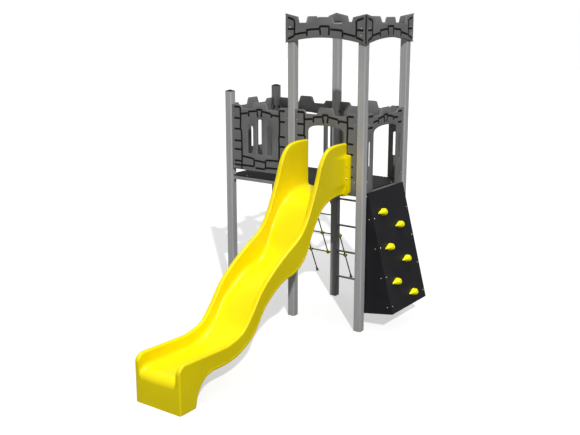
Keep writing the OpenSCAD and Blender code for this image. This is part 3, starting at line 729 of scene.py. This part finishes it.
def buildSlide():
    s = slide
    top, rim, below, outer = slideLines()
    frontPlate = s["run"] - s["bed"]  # from here the section goes down to the ground
    form = bmesh.new()
    rings = []
    for out in slideStations(frontPlate):
        bedUnder = heightAt(below, out) if out <= frontPlate else 0.0
        wallUnder = heightAt(outer, out) if out < s["run"] - s["footLength"] else 0.0
        wallUnder = min(wallUnder, bedUnder)
        right = slideSection(out, heightAt(top, out), heightAt(rim, out), bedUnder, wallUnder)
        loop = right + [(-x, z) for x, z in right[-2:0:-1]]
        y = s["face"] - out * mm
        rings.append([form.verts.new((s["middle"] + x * mm, y, z * mm)) for x, z in loop])
    for a, b in zip(rings, rings[1:]):
        bridge(form, a, b)
    form.faces.new(rings[0])
    form.faces.new(rings[-1][::-1])
    bmesh.ops.remove_doubles(form, verts=form.verts, dist=0.005 * mm)
    bmesh.ops.recalc_face_normals(form, faces=form.faces)
    chute = newObject("waveSlide", meshFrom("waveSlide", form))
    parts = [chute, buildFlange(), buildLip()]
    for part in parts:
        part.data.materials.append(made["slideYellow"])
    joined = joinPieces(parts)
    smoothBy(joined.data, 38)
    finishPiece(joined, "slide_yellow", "slide_chute")
    print("slide ready:", len(joined.data.polygons), "faces")


def extruded(name, outline, depthFrom, depthTo):
    # an outline across and up, run out from the panel's face
    form = bmesh.new()
    y = [slide["face"] - d * mm for d in (depthFrom, depthTo)]
    rows = [[form.verts.new((slide["middle"] + x * mm, at, z * mm)) for x, z in outline] for at in y]
    form.faces.new(rows[0])
    form.faces.new(rows[1][::-1])
    for i in range(len(outline)):
        j = (i + 1) % len(outline)
        form.faces.new((rows[0][i], rows[1][i], rows[1][j], rows[0][j]))
    bmesh.ops.recalc_face_normals(form, faces=form.faces)
    return newObject(name, meshFrom(name, form))


def buildFlange():
    # a U of even depth round the doorway; its inner edge lies inside the chute's walls
    s = slide
    width, inside = s["flangeHalf"], s["halfWidth"] - s["wall"] + s["flangeLap"]
    deck, top = s["deck"], s["deck"] + s["flangeTop"]
    corner, foot = s["flangeCorner"], s["flangeFoot"]
    right = [(inside, deck + s["flangeStart"]), (inside, top)]
    right += [tuple(p) for p in arcPoints((width - corner, top - corner), corner, 90, 0, 6)]
    right += [tuple(p) for p in arcPoints((width - foot, deck + s["flangeLow"]), foot, 0, -90, 10)]
    left = [(-x, z) for x, z in right[::-1]]
    flange = extruded("slideFlange", right + left, s["flangeGap"], s["flangeDepth"])
    addBevel(flange, 5 * mm, 3, 50)
    return bake(flange)


def buildLip():
    # the bed's end, which reaches through the doorway to the deck
    s = slide
    inside, top, under = s["halfWidth"] - s["wall"], s["deck"], s["deck"] - s["bed"]
    outline = [(-inside, under), (inside, under), (inside, top), (-inside, top)]
    lip = extruded("slideLip", outline, -s["lip"], s["flangeLap"])
    addBevel(lip, 2 * mm, 2)
    return bake(lip)


def joinPieces(parts):
    form = bmesh.new()
    for part in parts:
        form.from_mesh(part.data)
    first = parts[0]
    finish = first.data.materials[0]
    first.data = meshFrom(first.name, form)
    first.data.materials.clear()
    first.data.materials.append(finish)
    for part in parts[1:]:
        bpy.data.objects.remove(part)
    return first


# A bolt is a button head with a hex socket, its shank and its nut, in millimetres.
bolt = {
    "sides": 24, "socket": 2.6, "socketDepth": 2.4, "shank": 4, "headRadius": 8, "eyeHeadRadius": 6,
    "wide": 7.6,  # a head is wider than this, a shank isn't
    "nutAcross": 7.0, "nutLow": 0.2, "nutHigh": 5.8, "nutChamfer": 0.8,
    # a head's outline from its underside up, as shares of its radius and its height
    "headProfile": ((1, 0), (1, 0.22), (0.93, 0.5), (0.78, 0.8), (0.58, 1)),
}


def looseSolids(nodeName):
    # the corner points of each separate solid of a node
    form = bmesh.new()
    form.from_mesh(nodes[nodeName].data)
    bmesh.ops.remove_doubles(form, verts=form.verts, dist=weldGap)
    form.verts.ensure_lookup_table()
    seen, groups = set(), []
    for start in form.verts:
        if start.index in seen:
            continue
        stack, members = [start], []
        seen.add(start.index)
        while stack:
            vert = stack.pop()
            members.append(vert.co.copy())
            for edge in vert.link_edges:
                other = edge.other_vert(vert)
                if other.index not in seen:
                    seen.add(other.index)
                    stack.append(other)
        groups.append(np.array(members))
    form.free()
    return groups


def boltPlace(points):
    # where the head's underside sits, which way the head points, and the lengths either side
    middle = points.mean(0)
    axis = np.linalg.svd(points - middle)[2][0]
    along = (points - middle) @ axis
    radius = np.linalg.norm(points - middle - np.outer(along, axis), axis=1)
    wide = radius > bolt["wide"] * mm
    if not wide.any():
        wide = radius > radius.max() - 0.1 * mm
    if along[wide].mean() < 0:
        axis, along = -axis, -along
    seat = along[wide].min()
    return middle + axis * seat, axis, along.max() - seat, seat - along.min()


def ring(form, radius, height, sides):
    turns = [2 * math.pi * i / sides for i in range(sides)]
    return [form.verts.new((radius * math.cos(a), radius * math.sin(a), height)) for a in turns]


def bridge(form, a, b):
    for i in range(len(a)):
        j = (i + 1) % len(a)
        form.faces.new((a[i], a[j], b[j], b[i]))


def closeTube(form, rings):
    # skins a row of rings and closes both ends
    for a, b in zip(rings, rings[1:]):
        bridge(form, a, b)
    form.faces.new(rings[-1])
    form.faces.new(rings[0][::-1])
    bmesh.ops.recalc_face_normals(form, faces=form.faces)


def boltMesh(headHeight, headRadius, shankLength, withNut):
    form = bmesh.new()
    sides = bolt["sides"]
    shank, socketSize = bolt["shank"] * mm, bolt["socket"] * mm
    profile = [(shank, -shankLength), (shank, 0)]
    profile += [(headRadius * r, headHeight * z) for r, z in bolt["headProfile"]]
    profile.append((socketSize * 1.1, headHeight))
    rings = [ring(form, r, z, sides) for r, z in profile]
    for a, b in zip(rings, rings[1:]):
        bridge(form, a, b)
    form.faces.new(rings[0][::-1])
    depth = min(bolt["socketDepth"] * mm, headHeight * 0.6)
    socket = [[form.verts.new((x, y, z)) for x, y in hexPoints(socketSize, sides)]
              for z in (headHeight, headHeight - depth)]
    bridge(form, rings[-1], socket[0])
    bridge(form, socket[0], socket[1])
    form.faces.new(socket[1])
    if withNut:
        across = bolt["nutAcross"] * mm
        low, high = -shankLength - bolt["nutLow"] * mm, -shankLength + bolt["nutHigh"] * mm
        shape = ((across * 0.93, low), (across, low + bolt["nutChamfer"] * mm), (across, high))
        nut = [ring(form, r, z, 6) for r, z in shape]
        bridge(form, nut[0], nut[1])
        bridge(form, nut[1], nut[2])
        form.faces.new(nut[0][::-1])
        form.faces.new(nut[2])
    bmesh.ops.recalc_face_normals(form, faces=form.faces)
    return meshFrom("boltShape", form)


def hexPoints(size, count):
    # points round a hexagon, as many as the ring that they join has
    points = []
    for i in range(count):
        angle = 2 * math.pi * i / count
        wedge = (angle % (math.pi / 3)) - math.pi / 6
        reach = size * math.cos(math.pi / 6) / math.cos(wedge)
        points.append((reach * math.cos(angle), reach * math.sin(angle)))
    return points


def buildBoltTree():
    # one bolt stands on every point, turned to the point's own direction
    tree, given, result = newTree("boltSet", [("Bolt", "Object", None), ("Finish", "Material", None)])
    info = tree.nodes.new("GeometryNodeObjectInfo")
    info.transform_space = "ORIGINAL"
    direction = tree.nodes.new("GeometryNodeInputNamedAttribute")
    direction.data_type = "FLOAT_VECTOR"
    direction.inputs["Name"].default_value = "headWay"
    align = tree.nodes.new("FunctionNodeAlignRotationToVector")
    align.axis = "Z"
    instance = tree.nodes.new("GeometryNodeInstanceOnPoints")
    tree.links.new(given["Bolt"], info.inputs["Object"])
    tree.links.new(given["Geometry"], instance.inputs["Points"])
    tree.links.new(info.outputs["Geometry"], instance.inputs["Instance"])
    tree.links.new(direction.outputs["Attribute"], align.inputs["Vector"])
    tree.links.new(align.outputs["Rotation"], instance.inputs["Rotation"])
    endTree(tree, instance.outputs["Instances"], given["Finish"], result)
    return tree


def buildBolts():
    tree = buildBoltTree()
    for nodeName, finish, withNut in (
        ("crown_bolts", "boltSteel", False), ("panel_bolts", "boltSteel", True),
        ("slide_bolts", "boltSteel", True), ("board_bolts", "boltSteel", True),
        ("side_bolts", "boltSteel", False), ("hold_bolts", "bracketSteel", True),
        ("deck_screws", "boltSteel", False), ("net_eye_bolts", "bracketSteel", False),
    ):
        places = [boltPlace(points) for points in looseSolids(nodeName)]
        _, _, headHeight, shankLength = places[0]
        headRadius = bolt["eyeHeadRadius" if nodeName == "net_eye_bolts" else "headRadius"] * mm
        master = newObject(nodeName + "Master", boltMesh(headHeight, headRadius, shankLength, withNut))
        mesh = bpy.data.meshes.new(nodeName + "Places")
        mesh.from_pydata([tuple(p[0]) for p in places], [], [])
        ways = mesh.attributes.new("headWay", "FLOAT_VECTOR", "POINT")
        ways.data.foreach_set("vector", np.array([p[1] for p in places], np.float32).ravel())
        item = newObject(nodeName.title().replace("_", ""), mesh)
        runTree(item, tree, Bolt=master, Finish=made[finish])
        smoothBy(item.data, 35)
        bpy.data.objects.remove(master)
        finishPiece(item, "fastener_steel", nodeName)
    print("bolts ready")


wall = {
    "tilt": 14.8, "top": (0.917, 0.055, 1.512), "width": 0.760, "edgeBevel": 2.5 * mm,
    "tipReach": 90, "sides": 56,
    # rings of a hold: radius of the round end and of the tip, then their heights off the board
    "holdProfile": ((40, 6, 0, 0), (40, 6, 7.5, 2), (39, 5.2, 13, 4), (37, 4.8, 22, 5.5),
                    (34, 4.2, 33, 6.8), (30.8, 3.8, 41, 7.8), (27, 3.5, 46, 8.6),
                    (23, 3.2, 49.5, 9.2), (19, 3.1, 51, 9.6)),
    # radius and height of the recess for a hold's bolt
    "holdRecess": ((12.5, 51.2), (11, 49.5), (10.5, 40)),
    # holds: across from the board's middle, down from its top
    "holds": ((-162, 240), (133, 435), (-162, 623), (133, 817), (-162, 1004), (133, 1196)),
}


def onBoard():
    return Matrix.Translation(wall["top"]) @ Matrix.Rotation(math.radians(-wall["tilt"]), 4, "Y")


def holdPoint(angle, big, small):
    # on a loop round two circles: the round end at the hold's own place and the tip beyond it
    lean = math.asin((big - small) / wall["tipReach"])
    if abs(math.remainder(angle, 2 * math.pi)) < math.pi / 2 + lean:
        return math.sin(angle) * big, math.cos(angle) * big
    return math.sin(angle) * small, math.cos(angle) * small - wall["tipReach"]


def holdMesh(name):
    form = bmesh.new()
    rings = []
    sides = wall["sides"]
    turns = [2 * math.pi * (i + 0.5) / sides for i in range(sides)]
    for big, small, bigHeight, smallHeight in wall["holdProfile"]:
        row = []
        for angle in turns:
            up, along = holdPoint(angle, big, small)
            height = smallHeight if along < -wall["tipReach"] + small + 1 else bigHeight
            row.append(form.verts.new((height * mm, along * mm, up * mm)))
        rings.append(row)
    for radius, height in wall["holdRecess"]:
        circle = [(radius * math.cos(angle) * mm, radius * math.sin(angle) * mm) for angle in turns]
        rings.append([form.verts.new((height * mm, y, z)) for y, z in circle])
    closeTube(form, rings)
    return meshFrom(name, form)


def buildHolds():
    for number, (across, down) in enumerate(wall["holds"], 1):
        mesh = holdMesh(f"hold{number}")
        mesh.transform(onBoard() @ Matrix.Translation((0, wall["width"] / 2 + across * mm, -down * mm)))
        mesh.materials.append(made["holdYellow"])
        smoothBy(mesh, 42)
        finishPiece(newObject(f"hold{number}", mesh), "hold_yellow", f"hold_{number}")
    print("holds ready")


def bevelledPiece(nodeName, slotName, finish, edgeFinish, width, segments=2, degrees=40):
    piece = newObject(nodeName.title().replace("_", ""), cleanCopy(nodeName))
    piece.data.materials.append(made[finish])
    if edgeFinish:
        piece.data.materials.append(made[edgeFinish])
    smoothBy(piece.data, 35)
    addBevel(piece, width, segments, degrees, 1 if edgeFinish else -1, True)
    bake(piece)
    return finishPiece(piece, slotName, nodeName)


def buildBoards():
    for nodeName in ("climbing_board", "climbing_side_near", "climbing_side_far"):
        bevelledPiece(nodeName, "board_charcoal", "boardCharcoal", "boardEdge", wall["edgeBevel"])
    for nodeName in ("deck_left", "deck_right"):
        bevelledPiece(nodeName, "deck_black", "deckBlack", None, 1.5 * mm)
    for nodeName in ("deck_beams_front", "deck_beams_back", "deck_beams_cross"):
        bevelledPiece(nodeName, "beam_metal", "beamMetal", None, 0.9 * mm)
    for nodeName in ("panel_brackets", "beam_brackets", "board_brackets", "slide_foot_anchor",
                     "net_top_eyes", "net_ground_anchors"):
        bevelledPiece(nodeName, "fastener_steel", "bracketSteel", None, 0.6 * mm)
    bevelledPiece("net_clamps", "clamp_yellow", "clampYellow", None, 1.6 * mm, 2, 50)
    bevelledPiece("rung_collars", "cap_black", "rungMetal", None, 1.2 * mm)
    bevelledPiece("side_spacers", "cap_black", "capBlack", None, 1.0 * mm)
    bevelledPiece("post_caps", "cap_black", "capBlack", None, 1.2 * mm, 2, 50)
    print("boards, beams and brackets ready")


rung = {"radius": 12, "ribs": 60, "ribDepth": 0.45, "plainSteps": 12, "endDepth": 1.2, "sides": 28}


def buildRungs():
    # a tube with fine grip rings, turned down at both ends
    steps = rung["ribs"] * 4
    for index in range(1, 5):
        low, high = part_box(f"rung_{index}")
        y, z = (low.y + high.y) / 2, (low.z + high.z) / 2
        form = bmesh.new()
        rings = []
        for i in range(steps + 1):
            depth = 0
            if i in (0, steps):
                depth = rung["endDepth"]
            elif rung["plainSteps"] < i < steps - rung["plainSteps"]:
                depth = rung["ribDepth"] * (0.5 - 0.5 * math.cos(math.pi * (i % 4) / 2))
            along = (high.x - low.x) * i / steps
            rings.append(ring(form, (rung["radius"] - depth) * mm, along, rung["sides"]))
        closeTube(form, rings)
        mesh = meshFrom(f"rung{index}", form)
        mesh.transform(Matrix.Translation((low.x, y, z)) @ Matrix.Rotation(math.radians(90), 4, "Y"))
        mesh.materials.append(made["rungMetal"])
        smoothBy(mesh, 40)
        finishPiece(newObject(f"rung{index}", mesh), "rung_metal", f"rung_{index}")
    print("rungs ready")


rope = {"strands": 3, "strandSides": 8, "strandRadius": 4.4, "layRadius": 3.6, "pitch": 52, "step": 4.0}


def buildRopeTree():
    # strands wind round every line of the given mesh
    tree, given, result = newTree("laidRope", [
        ("Strand Radius", "Float", 0.004), ("Lay Radius", "Float", 0.0037), ("Pitch", "Float", 0.05),
        ("Step", "Float", 0.004), ("Finish", "Material", None)])
    link = tree.links.new

    def scaled(vector, factor):
        node = tree.nodes.new("ShaderNodeVectorMath")
        node.operation = "SCALE"
        link(vector, node.inputs[0])
        link(factor, node.inputs["Scale"])
        return node.outputs[0]

    toCurve = tree.nodes.new("GeometryNodeMeshToCurve")
    resample = tree.nodes.new("GeometryNodeResampleCurve")
    resample.mode = "LENGTH"
    link(given["Geometry"], toCurve.inputs["Mesh"])
    link(toCurve.outputs["Curve"], resample.inputs["Curve"])
    link(given["Step"], resample.inputs["Length"])
    parameter = tree.nodes.new("GeometryNodeSplineParameter")
    tangent = tree.nodes.new("GeometryNodeInputTangent")
    normal = tree.nodes.new("GeometryNodeInputNormal")
    cross = tree.nodes.new("ShaderNodeVectorMath")
    cross.operation = "CROSS_PRODUCT"
    link(tangent.outputs["Tangent"], cross.inputs[0])
    link(normal.outputs["Normal"], cross.inputs[1])
    circle = tree.nodes.new("GeometryNodeCurvePrimitiveCircle")
    circle.inputs["Resolution"].default_value = rope["strandSides"]
    link(given["Strand Radius"], circle.inputs["Radius"])
    join = tree.nodes.new("GeometryNodeJoinGeometry")
    for strand in range(rope["strands"]):
        laps = maths(tree, "DIVIDE", parameter.outputs["Length"], given["Pitch"])
        turn = maths(tree, "MULTIPLY", laps, 2 * math.pi)
        turn = maths(tree, "ADD", turn, 2 * math.pi * strand / rope["strands"])
        offset = tree.nodes.new("ShaderNodeVectorMath")
        offset.operation = "ADD"
        link(scaled(normal.outputs["Normal"], maths(tree, "COSINE", turn)), offset.inputs[0])
        link(scaled(cross.outputs[0], maths(tree, "SINE", turn)), offset.inputs[1])
        move = tree.nodes.new("GeometryNodeSetPosition")
        link(resample.outputs["Curve"], move.inputs["Geometry"])
        link(scaled(offset.outputs[0], given["Lay Radius"]), move.inputs["Offset"])
        sweep = tree.nodes.new("GeometryNodeCurveToMesh")
        sweep.inputs["Fill Caps"].default_value = True
        link(move.outputs["Geometry"], sweep.inputs["Curve"])
        link(circle.outputs["Curve"], sweep.inputs["Profile Curve"])
        link(sweep.outputs["Mesh"], join.inputs["Geometry"])
    endTree(tree, join.outputs["Geometry"], given["Finish"], result)
    return tree


def ropeEnds(points):
    # both ends of a straight rope's centre line
    middle = points.mean(0)
    axis = np.linalg.svd(points - middle)[2][0]
    along = (points - middle) @ axis
    return tuple(middle + axis * along.min()), tuple(middle + axis * along.max())


def buildNet():
    tree = buildRopeTree()
    for nodeName in ("net_rope_left", "net_rope_middle", "net_rope_right", "net_cross_ropes"):
        points, edges = [], []
        for solid in looseSolids(nodeName):
            edges.append((len(points), len(points) + 1))
            points += ropeEnds(solid)
        mesh = bpy.data.meshes.new(nodeName + "Line")
        mesh.from_pydata(points, edges, [])
        item = newObject(nodeName.title().replace("_", ""), mesh)
        runTree(item, tree, StrandRadius=rope["strandRadius"] * mm, LayRadius=rope["layRadius"] * mm,
                Pitch=rope["pitch"] * mm, Step=rope["step"] * mm, Finish=made["ropeBlack"])
        smoothBy(item.data, 60)
        finishPiece(item, "rope_black", nodeName)
    print("net ready")


def paintKeptNodes():
    # the posts and their feet keep the CAD's own shape
    kept = {"post_feet": "bracketSteel"}
    for name in nodes:
        if name.startswith("post_") and name not in ("post_feet", "post_caps"):
            kept[name] = "postMetal"
    for name, finish in kept.items():
        data = nodes[name].data
        data.materials.clear()
        data.materials.append(made[finish])
    print("kept nodes painted:", len(kept))


buildStage()
buildFinishes()
paintKeptNodes()
buildPanels()
buildSlide()
buildBolts()
buildHolds()
buildBoards()
buildRungs()
buildNet()
